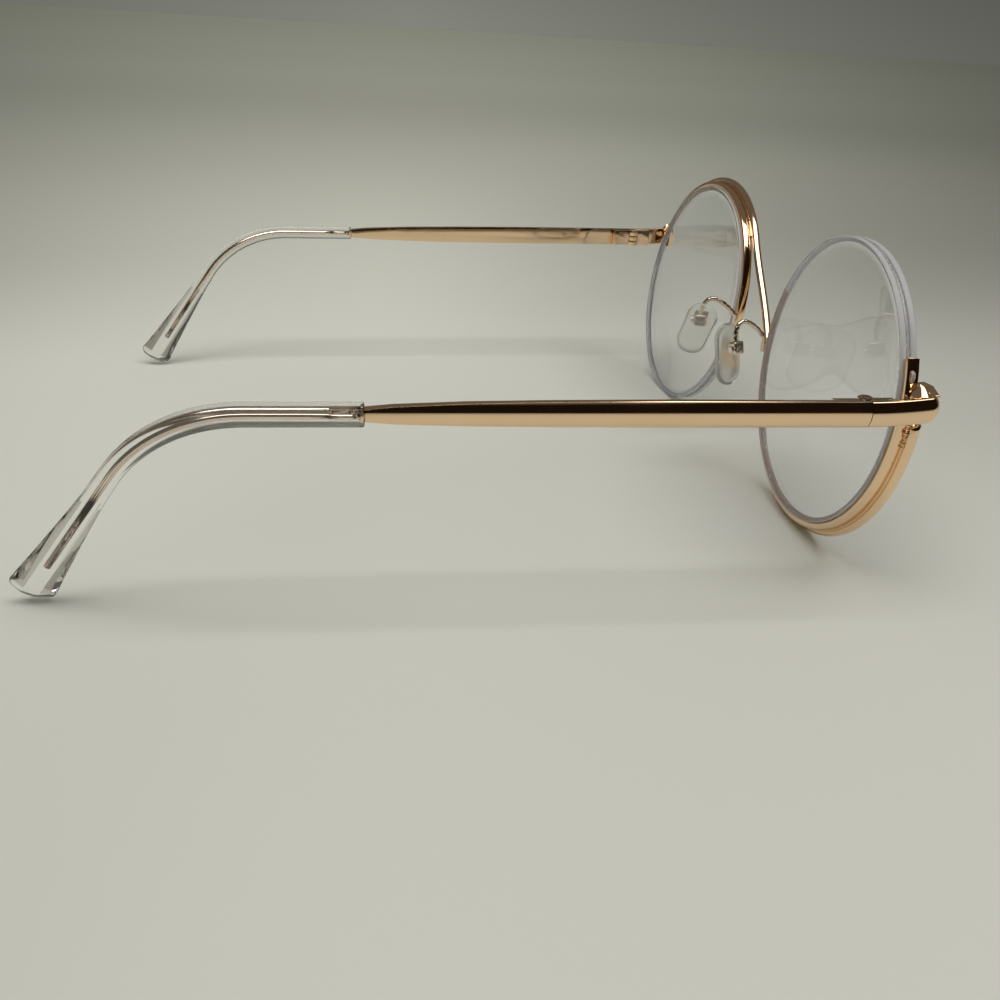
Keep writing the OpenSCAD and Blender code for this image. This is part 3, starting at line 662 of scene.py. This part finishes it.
# End pieces. Each is the same crowned bar as the temple, bent round the corner of the front and raised a
# little there, with a faceted plate up its front and a rough fillet of solder against the lug.
HINGE_Z = 34.0659
BAR_INNER, JOINT_Y, BAR_T, BAR_H, CROWN_R = 65.1, 7.3, 1.7, 4.1, 3.0
FRONT_Y, BEND_AT, CORNER_R, CORNER_RISE = -4.3, -2.45, 1.0, 0.8
PLATE_IN = 60.2
PLATE = [(65.3, -4.1, 2.75), (62.8, -4.25, 3.5), (60.3, -4.2, 3.35), (65.0, -2.9, 2.6), (62.8, -2.7, 3.3),
         (60.3, -2.7, 3.2), (65.0, -4.1, -1.0), (60.3, -4.2, -1.2), (64.6, -2.8, -1.0), (60.3, -2.7, -1.2)]
SOLDER_LUMP = [(63.35, -1.5, 3.95), (63.2, -2.6, 4.0), (61.9, -0.8, 1.6), (62.0, -0.8, 0.2),
               (65.6, -0.9, 2.1), (65.2, -2.4, 2.7), (62.6, -3.2, 3.2), (62.4, -3.2, 0.2), (65.4, -1.2, 0.4)]
MIRROR = Matrix.Scale(-1, 4, (1, 0, 0))


def on_side(side):
    return MIRROR if side == RIGHT else Matrix.Identity(4)


def bar_section(shape):
    """The bar cut across: x up and y outwards, from -1 to 1, with a crowned outer face."""
    half = math.asin(BAR_H / 2 / CROWN_R)
    edge_y = BAR_T / 2 - CROWN_R + CROWN_R * math.cos(half)
    first = shape.verts.new((-BAR_H / 2, edge_y, 0))
    arc = bmesh.ops.spin(shape, geom=[first], cent=(0, BAR_T / 2 - CROWN_R, 0), axis=(0, 0, -1),
                         angle=2 * half, steps=20)
    top = points(arc["geom_last"])[0]
    inner = drawn_on(shape, top, (0, -BAR_T / 2 - edge_y, 0))
    drawn_on(shape, inner, (-BAR_H, 0, 0))
    bmesh.ops.contextual_create(shape, geom=shape.verts[:])
    shape.edges.index_update()
    low = [v for v in shape.verts if abs(v.co.x) > BAR_H / 2 - 0.01]
    bmesh.ops.bevel(shape, geom=low, offset=0.12, segments=3, profile=0.5, affect="VERTICES", material=-1)
    bmesh.ops.scale(shape, vec=(2 / BAR_H, 2 / BAR_T, 1), verts=shape.verts)


def end_piece(side):
    """The bar bent round the corner, with its plate and a lump of solder that is left a little uneven."""
    stops = [JOINT_Y - (JOINT_Y - BEND_AT) * i / 20 for i in range(21)]
    path = [Vector((BAR_INNER + BAR_T / 2, y, 0)) for y in stops]
    outer = [Vector((1, 0, 0))] * len(path)
    for i in range(1, 13):
        turn = math.radians(90 * i / 12)
        path.append(Vector((path[0].x - CORNER_R * (1 - math.cos(turn)),
                            BEND_AT - CORNER_R * math.sin(turn), 0)))
        outer.append(Vector((math.cos(turn), -math.sin(turn), 0)))
    path.append(Vector((PLATE_IN, path[-1].y, 0)))
    outer.append(Vector((0, -1, 0)))
    for point in path:
        point.z = HINGE_Z + CORNER_RISE * ((JOINT_Y - point.y) / (JOINT_Y - FRONT_Y)) ** 2
        point.y += MIDDLE
    shape = draw_wire(path, outer, [(BAR_H / 2, BAR_T / 2)] * len(path), bar_section)
    for corners in (PLATE, SOLDER_LUMP):
        block = [shape.verts.new((x, y + MIDDLE, z + HINGE_Z)) for x, y, z in corners]
        skin = bmesh.ops.convex_hull(shape, input=block)["geom"]
        edges = [e for e in skin if isinstance(e, bmesh.types.BMEdge) and e.calc_face_angle(0) > 0.2]
        if corners is PLATE:
            bmesh.ops.bevel(shape, geom=edges, offset=0.14, segments=3, profile=0.5,
                            affect="EDGES", material=-1)
            continue
        finer = bmesh.ops.subdivide_edges(shape, edges=edges, cuts=2, use_grid_fill=True)["geom_inner"]
        for i, v in enumerate(sorted(points(finer), key=lambda v: [round(c, 3) for c in v.co])):
            v.co += Vector((0.16 * math.sin(12.9 * i), 0.16 * math.sin(7.3 * i + 1),
                            0.2 * math.sin(5.1 * i + 2)))
    bmesh.ops.transform(shape, matrix=on_side(side), verts=shape.verts)
    return shape


for word, side in SIDES.items():
    corner = kept(end_piece(side), "corner_bar_" + word, "front", gold, replaced=["end_piece_" + word])
    crisped(corner)


# Hinge screws. Each is a steel screw with a very low head, sunk nearly flush with the top knuckle. Its
# shank runs down through all three knuckles, and the temple turns on it.
HINGE_AXIS = (63.75, -57.6333)
KNUCKLES_H = 3.9
SCREW_R, SHANK_SHARE = 0.9, 0.6
SLOT_HALF, SLOT_DEEP, HEAD_H, HEAD_OVER = 0.14, 0.12, 0.16, 0.18


def hinge_screws():
    shape = bmesh.new()
    bmesh.ops.create_circle(shape, cap_ends=True, radius=SCREW_R, segments=40)
    bmesh.ops.inset_region(shape, faces=shape.faces[:], thickness=0.1)
    inner = max(shape.faces, key=lambda f: f.calc_area())
    for at in (-SLOT_HALF, SLOT_HALF):
        halves = [inner] + list(inner.edges) + list(inner.verts)
        bmesh.ops.bisect_plane(shape, geom=halves, plane_co=(at, 0, 0), plane_no=(1, 0, 0))
        inner = max((f for f in shape.faces if abs(f.normal.z) > 0.5), key=lambda f: f.calc_area())
    strip = [f for f in shape.faces if abs(f.calc_center_median().x) < 0.05 and f.calc_area() > 0.2]
    pulled = bmesh.ops.extrude_face_region(shape, geom=strip)["geom"]
    bmesh.ops.delete(shape, geom=strip, context="FACES_ONLY")
    bmesh.ops.translate(shape, vec=(0, 0, -SLOT_DEEP), verts=points(pulled))
    outline = [e for e in shape.edges if e.is_boundary]
    for share, drop in ((1.0, -HEAD_H), (SHANK_SHARE, 0.0), (1.0, -KNUCKLES_H)):
        pulled = bmesh.ops.extrude_edge_only(shape, edges=outline)["geom"]
        ring = points(pulled)
        outline = [e for e in pulled if isinstance(e, bmesh.types.BMEdge) and all(v in ring for v in e.verts)]
        bmesh.ops.scale(shape, vec=(share, share, 1), verts=ring)
        bmesh.ops.translate(shape, vec=(0, 0, drop), verts=ring)
    bmesh.ops.edgeloop_fill(shape, edges=outline)
    x, y = HINGE_AXIS
    bmesh.ops.translate(shape, vec=(RIGHT * x, y, HINGE_Z + KNUCKLES_H / 2 + HEAD_OVER), verts=shape.verts)
    twin = bmesh.ops.duplicate(shape, geom=shape.verts[:] + shape.edges[:] + shape.faces[:])["geom"]
    bmesh.ops.translate(shape, vec=(2 * x, 0, 0), verts=points(twin))
    return shape


screws = kept(hinge_screws(), "slotted_screws", "front", steel, replaced=["hinge_screws"])
crisped(screws)


# Nylon cords. A clear cord is pulled tight in the bare half of each lens's groove. It is looped out
# through one hole of the lug and back in through the other, which holds it.
cord_finish = Finish("nylon_line")
cord_finish.plastic((0.93, 0.88, 0.87), 0.7, 1.53,
                    cord_finish.ranged(cord_finish.noise(900), 0, 1, 0.16, 0.34))

CORD_R = LENS_R - GROOVE + 0.4
CORD_HALF = 0.32
LUG_HOLES = (math.radians(4.8), math.radians(7.6))


def cord_route(side):
    """Angles and radii of the cord: round the groove, out of the second hole and back in the first."""
    bend = 0.45
    turn = bend / CORD_R
    first, second = (LUG_FROM[side] + hole for hole in LUG_HOLES)
    loop = LUG_OUT + CORD_HALF + 0.02
    start = RIM_STOP + math.radians(0.6)
    run_to = 2 * math.pi + second - turn
    stops = [(CORD_R, start + (run_to - start) * i / 80) for i in range(81)]
    quarter = [math.radians(15 * i) for i in range(1, 7)]
    stops += [(CORD_R + bend * (1 - math.cos(t)), second - turn * (1 - math.sin(t))) for t in quarter]
    stops.append((loop - bend, second))
    stops += [(loop - bend * (1 - math.sin(t)), second - turn * (1 - math.cos(t))) for t in quarter]
    stops += [(loop - bend * (1 - math.cos(t)), first + turn * (1 - math.sin(t))) for t in [0] + quarter]
    stops.append((CORD_R + CORD_HALF + 0.06, first))
    return [on_ring(side, r, a, LENS_EDGE / 2) for r, a in stops]


for word, side in SIDES.items():
    stops = cord_route(side)
    line = draw_wire(stops, [facing_of(side)] * len(stops), [(CORD_HALF, CORD_HALF)] * len(stops))
    cord = kept(line, "lens_line_" + word, "front", cord_finish.material, replaced=["nylon_cord_" + word])


# Pad arms. Each is a thin plated wire, soldered flat along the eye wire's nose side, bowed to the back
# and bent down onto its pad's box.
PAD = Vector((10.6, 5.8, 26.6))
PAD_SEAT = (Matrix.Translation((PAD.x, PAD.y + MIDDLE, PAD.z)) @ Matrix.Rotation(math.radians(-28), 4, "Z")
            @ Matrix.Rotation(math.radians(-14), 4, "Y"))
ARM_FOOT = Vector((8.27, -1.4 + MIDDLE, PAD.z))
ARM_END = Vector((0, 0, 1.24))
ARM_LEAVES, ARM_ARRIVES = Vector((0.6, 10.6, 11.8)), Vector((4.1, -1.8, -19.4))


def arm_route():
    low, top = ARM_FOOT - Vector((0, 0, 1.2)), ARM_FOOT + Vector((0, 0, 1.6))
    end = PAD_SEAT @ ARM_END
    return [low, (low + top) / 2, top] + bowed(top, ARM_LEAVES, end, ARM_ARRIVES, 48) + [end]


arm_gold = plated("pad_arm_plating", (0.93, 0.82, 0.68), (0.62, 0.46, 0.32), 0.06, 0.8, 1300, 0.0002)

for word, side in SIDES.items():
    stops = arm_route()
    lumps = [(0.5 + 0.06 * math.sin(1.3 * i), 0.5 + 0.06 * math.sin(1.7 * i + 1)) for i in range(len(stops))]
    shape = draw_wire(stops, [Vector((1, 0, 0))] * len(stops), lumps)
    bmesh.ops.transform(shape, matrix=on_side(side), verts=shape.verts)
    arm = kept(shape, "pad_wire_" + word, "front", arm_gold, replaced=["pad_arm_" + word])


# Pad boxes. Each is a small pressed box of plated metal at the end of its arm, with soft round corners
# and open towards the pad.
BOX_LOW, BOX_TOP = -1.15, 1.55


def pad_box(side):
    shape = bmesh.new()
    bmesh.ops.create_cube(shape, size=1)
    bmesh.ops.scale(shape, vec=(2.0, 2.8, BOX_TOP - BOX_LOW), verts=shape.verts)
    bmesh.ops.bevel(shape, geom=shape.edges[:], offset=0.42, segments=5, profile=0.5,
                    affect="EDGES", material=-1)
    mouth = [f for f in shape.faces if f.normal.x < -0.99 and f.calc_area() > 1]
    bmesh.ops.delete(shape, geom=mouth, context="FACES_ONLY")
    bmesh.ops.solidify(shape, geom=shape.faces[:], thickness=0.3)
    bmesh.ops.translate(shape, vec=(0.25, 0, (BOX_LOW + BOX_TOP) / 2), verts=shape.verts)
    bmesh.ops.transform(shape, matrix=on_side(side) @ PAD_SEAT, verts=shape.verts)
    return shape


for word, side in SIDES.items():
    box = kept(pad_box(side), "pad_cup_" + word, "front", arm_gold, replaced=["pad_box_" + word])


# Nose pads. Each is a soft clear moulded pad with a rounded rim and a domed face, on a stem that turns
# in the box.
soft_finish = Finish("clear_pad")
soft_finish.plastic((0.95, 0.95, 0.925), 0.85, 1.42,
                    soft_finish.ranged(soft_finish.noise(420), 0, 1, 0.06, 0.2))

PAD_LEN, PAD_W, PAD_BACK, PAD_DROP = 13.0, 7.0, 1.2, -1.2
STEM_U, STEM_V, BARREL_R = 1.7, 1.0, 0.68
PAD_LEAN = {RIGHT: 0.0, LEFT: math.radians(16)}
PAD_FACE_STEPS = ((0.1, 0.3), (0.25, 0.28), (0.4, 0.2), (0.7, 0.12), (0.9, 0.07))
PAD_BACK_STEPS = ((0.1, 0.2), (0.22, 0.14), (0.3, 0.0), (0.15, -0.3), (0.25, -0.08), (0.8, 0.02))


def nose_pad(side):
    """A long oval cushion with a domed face, and a raised rim round its hollow back."""
    shape = bmesh.new()
    bmesh.ops.create_circle(shape, cap_ends=True, radius=PAD_W / 2, segments=56)
    long_half = [v for v in shape.verts if v.co.y > 0.001]
    short_half = [v for v in shape.verts if v.co.y < -0.001]
    bmesh.ops.translate(shape, vec=(0, (PAD_LEN - PAD_W) / 2, 0), verts=long_half)
    bmesh.ops.translate(shape, vec=(0, (PAD_W - PAD_LEN) / 2, 0), verts=short_half)
    bmesh.ops.rotate(shape, matrix=Matrix(((0, 0, 1), (1, 0, 0), (0, 1, 0))), verts=shape.verts)
    bmesh.ops.translate(shape, vec=(-PAD_BACK - 0.75, 0, PAD_DROP), verts=shape.verts)
    back = shape.faces[:]
    face = bmesh.ops.extrude_face_region(shape, geom=back, use_keep_orig=True)["geom"]
    bmesh.ops.translate(shape, vec=(-0.28, 0, 0), verts=points(face))
    face = [f for f in face if isinstance(f, bmesh.types.BMFace)]
    bmesh.ops.recalc_face_normals(shape, faces=shape.faces[:])
    for region, steps in ((face, PAD_FACE_STEPS), (back, PAD_BACK_STEPS)):
        for inset, rise in steps:
            bmesh.ops.inset_region(shape, faces=region, thickness=inset, depth=rise, use_even_offset=True)
    bmesh.ops.rotate(shape, matrix=Matrix.Rotation(PAD_LEAN[side], 3, "X"), verts=shape.verts)
    stem = bmesh.ops.create_cube(shape, size=1)["verts"]
    bmesh.ops.scale(shape, vec=(PAD_BACK + 0.4, STEM_U, STEM_V), verts=stem)
    bmesh.ops.translate(shape, vec=(-(PAD_BACK + 0.4) / 2, 0, 0), verts=stem)
    barrel = bmesh.ops.create_cone(shape, cap_ends=True, segments=32, radius1=BARREL_R, radius2=BARREL_R,
                                   depth=STEM_U)["verts"]
    bmesh.ops.rotate(shape, matrix=Matrix.Rotation(math.radians(90), 3, "X"), verts=barrel)
    bmesh.ops.transform(shape, matrix=on_side(side) @ PAD_SEAT, verts=shape.verts)
    return shape


for word, side in SIDES.items():
    pad = kept(nose_pad(side), "soft_pad_" + word, "pad_" + word, soft_finish.material,
               replaced=["nose_pad_" + word])
    crisped(pad, 50)


# Temple tips. A clear plastic sleeve is heated and pushed over the core wire, bent over the ear and
# flattened to a paddle at its end. Its sloping flanks carry a grey tint, painted shade for the darker
# surroundings seen through them. The core wire shows through it.
tip_finish = Finish("clear_tip")
tip_finish.plastic((0.99, 0.99, 0.98), 1, 1.47,
                   tip_finish.ranged(tip_finish.noise(260), 0.45, 0.8, 0.01, 0.07))
# Painted shade: the flank faces are tinted grey, standing in for the darker room seen through them.
flank_painted_shade = Finish("flank_painted_shade_tint")
flank_painted_shade.plastic((0.48, 0.45, 0.42), 1, 1.47, 0.03)

BAR_LEN, STRAIGHT, BEND_R, BEND = 76.8, 93.0, 24.0, math.radians(54.5)
ARC_END = STRAIGHT + BEND_R * BEND
TEMPLE_LEN = 143.0
TIP_H, TIP_T, PADDLE_W, FLARE_FROM = 3.0, 2.9, 7.4, 115.0
TIP_START, TIP_ROUND = BAR_LEN - 0.6, 1.8
FLANK_FROM, FLANK_TO, FLAT_FACE = 6, 2.2, 0.985
TEMPLE_SEAT = (Matrix.Translation((BAR_INNER, JOINT_Y + MIDDLE, HINGE_Z))
               @ Matrix.Rotation(math.radians(2), 4, "Z") @ Matrix.Rotation(math.radians(-0.4), 4, "X"))
BEND_SEAT = TEMPLE_SEAT @ Matrix.Translation((BAR_T / 2, 0, 0)) @ Matrix.Rotation(math.radians(9), 4, "Y")


def bend_place(s):
    """The place of a point of the tip's middle line, s millimetres from the hinge."""
    angle = min(BEND, max(0.0, s - STRAIGHT) / BEND_R)
    rest = max(0.0, s - ARC_END)
    return Vector((0, min(s, STRAIGHT) + BEND_R * math.sin(angle) + rest * math.cos(angle),
                   -BEND_R * (1 - math.cos(angle)) - rest * math.sin(angle)))


def flare_at(s):
    """How far the paddle has flared, from 0 to 1."""
    return (max(0.0, s - FLARE_FROM) / (TEMPLE_LEN - FLARE_FROM)) ** 1.4


def sleeve_section(shape):
    """A square with round corners, cut fine enough to be thinned towards its edges."""
    bmesh.ops.create_grid(shape, x_segments=1, y_segments=1, size=1)
    bmesh.ops.bevel(shape, geom=shape.verts[:], offset=0.34, segments=5, profile=0.5,
                    affect="VERTICES", material=-1)
    long_sides = [e for e in shape.edges
                  if abs(e.verts[0].co.y - e.verts[1].co.y) < 0.01 and e.calc_length() > 0.5]
    bmesh.ops.subdivide_edges(shape, edges=long_sides, cuts=8)


def sleeve_widths(s):
    """Half the sleeve's thickness and half its height, with a rounded start and a rounded end."""
    flare = flare_at(s)
    into = max(0.0, s - TEMPLE_LEN + TIP_ROUND)
    inset = TIP_ROUND - math.sqrt(max(0.0, TIP_ROUND ** 2 - into ** 2))
    lead = 0.25 * max(0.0, 1 - (s - TIP_START) / 0.3) ** 2
    return (TIP_T / 2 - 0.25 * flare - 0.4 * inset - lead,
            (TIP_H + (PADDLE_W - TIP_H) * flare) / 2 - inset - lead)


def tip_shape():
    stations = [TIP_START, TIP_START + 0.15, TIP_START + 0.3, TIP_START + 2, (TIP_START + STRAIGHT) / 2]
    stations += [STRAIGHT + (ARC_END - STRAIGHT) * i / 32 for i in range(33)]
    stations += [ARC_END + (TEMPLE_LEN - TIP_ROUND - ARC_END) * i / 28 for i in range(1, 29)]
    stations += [TEMPLE_LEN - TIP_ROUND * (1 - math.sin(math.radians(88 * i / 10))) for i in range(1, 11)]
    path = [BEND_SEAT @ bend_place(s) for s in stations]
    thick = BEND_SEAT.to_3x3() @ Vector((1, 0, 0))
    front = [thick.cross((path[min(i + 1, len(path) - 1)] - path[max(i - 1, 0)]).normalized())
             for i in range(len(path))]

    def thinned(i, across):
        """Slopes the paddle's flanks off, so that its middle keeps the sleeve's own height."""
        flank = 1 - 1.05 * TIP_H / (TIP_H + (PADDLE_W - TIP_H) * flare_at(stations[i]))
        return 1 - max(0.0, flank) * max(0.0, abs(across) - 0.2) / 0.8

    shape = draw_wire(path, front, [sleeve_widths(s) for s in stations], sleeve_section, thinned)
    end = path[-1]
    along = (path[-1] - path[-3]).normalized()
    low = BEND_SEAT.to_3x3() @ Vector((0, 0, -1))
    low = (low - low.dot(along) * along).normalized()
    shape.normal_update()
    # The sloping flank faces get the second finish, the grey painted-shade tint.
    for face in shape.faces:
        back = (end - face.calc_center_median()).dot(along)
        on_flank = FLANK_TO < back < TEMPLE_LEN - FLARE_FROM - FLANK_FROM
        face.material_index = int(on_flank and abs(face.normal.dot(thick)) < FLAT_FACE)
    for v in shape.verts:
        back = (end - v.co).dot(along) / 8
        if back < 1:
            v.co -= along * (0.3 + 0.22 * max(0.0, (v.co - end).dot(low))) * (1 - back) ** 2
    return shape


CORE_HALF, SHANK_HALF, SHANK, CORE_SHORT = 0.55, 0.85, 4.2, 7


def core_shape():
    stations = [BAR_LEN - 0.1, BAR_LEN + 2, BAR_LEN + SHANK, BAR_LEN + SHANK + 0.3, (BAR_LEN + STRAIGHT) / 2]
    stations += [STRAIGHT + BEND_R * BEND * i / 32 for i in range(33)] + [TEMPLE_LEN - CORE_SHORT]
    path = [BEND_SEAT @ bend_place(s) for s in stations]
    across = BEND_SEAT.to_3x3() @ Vector((1, 0, 0))
    widths = [(CORE_HALF, SHANK_HALF)] * 3 + [(CORE_HALF, CORE_HALF)] * (len(path) - 3)
    return draw_wire(path, [across] * len(path), widths)


core_metal = plated("core_wire_plating", (0.90, 0.78, 0.68), (0.80, 0.62, 0.52), 0.08, 0.2)

for word, side in SIDES.items():
    shape = tip_shape()
    bmesh.ops.transform(shape, matrix=on_side(side), verts=shape.verts)
    tip = kept(shape, "clear_sleeve_" + word, "temple_" + word, tip_finish.material, flank_painted_shade.material,
               replaced=["temple_tip_" + word])
    even = tip.modifiers.new("even", "WEIGHTED_NORMAL")
    even.weight = 100
    shape = core_shape()
    bmesh.ops.transform(shape, matrix=on_side(side), verts=shape.verts)
    core = kept(shape, "core_" + word, "temple_" + word, core_metal, replaced=["temple_core_" + word])
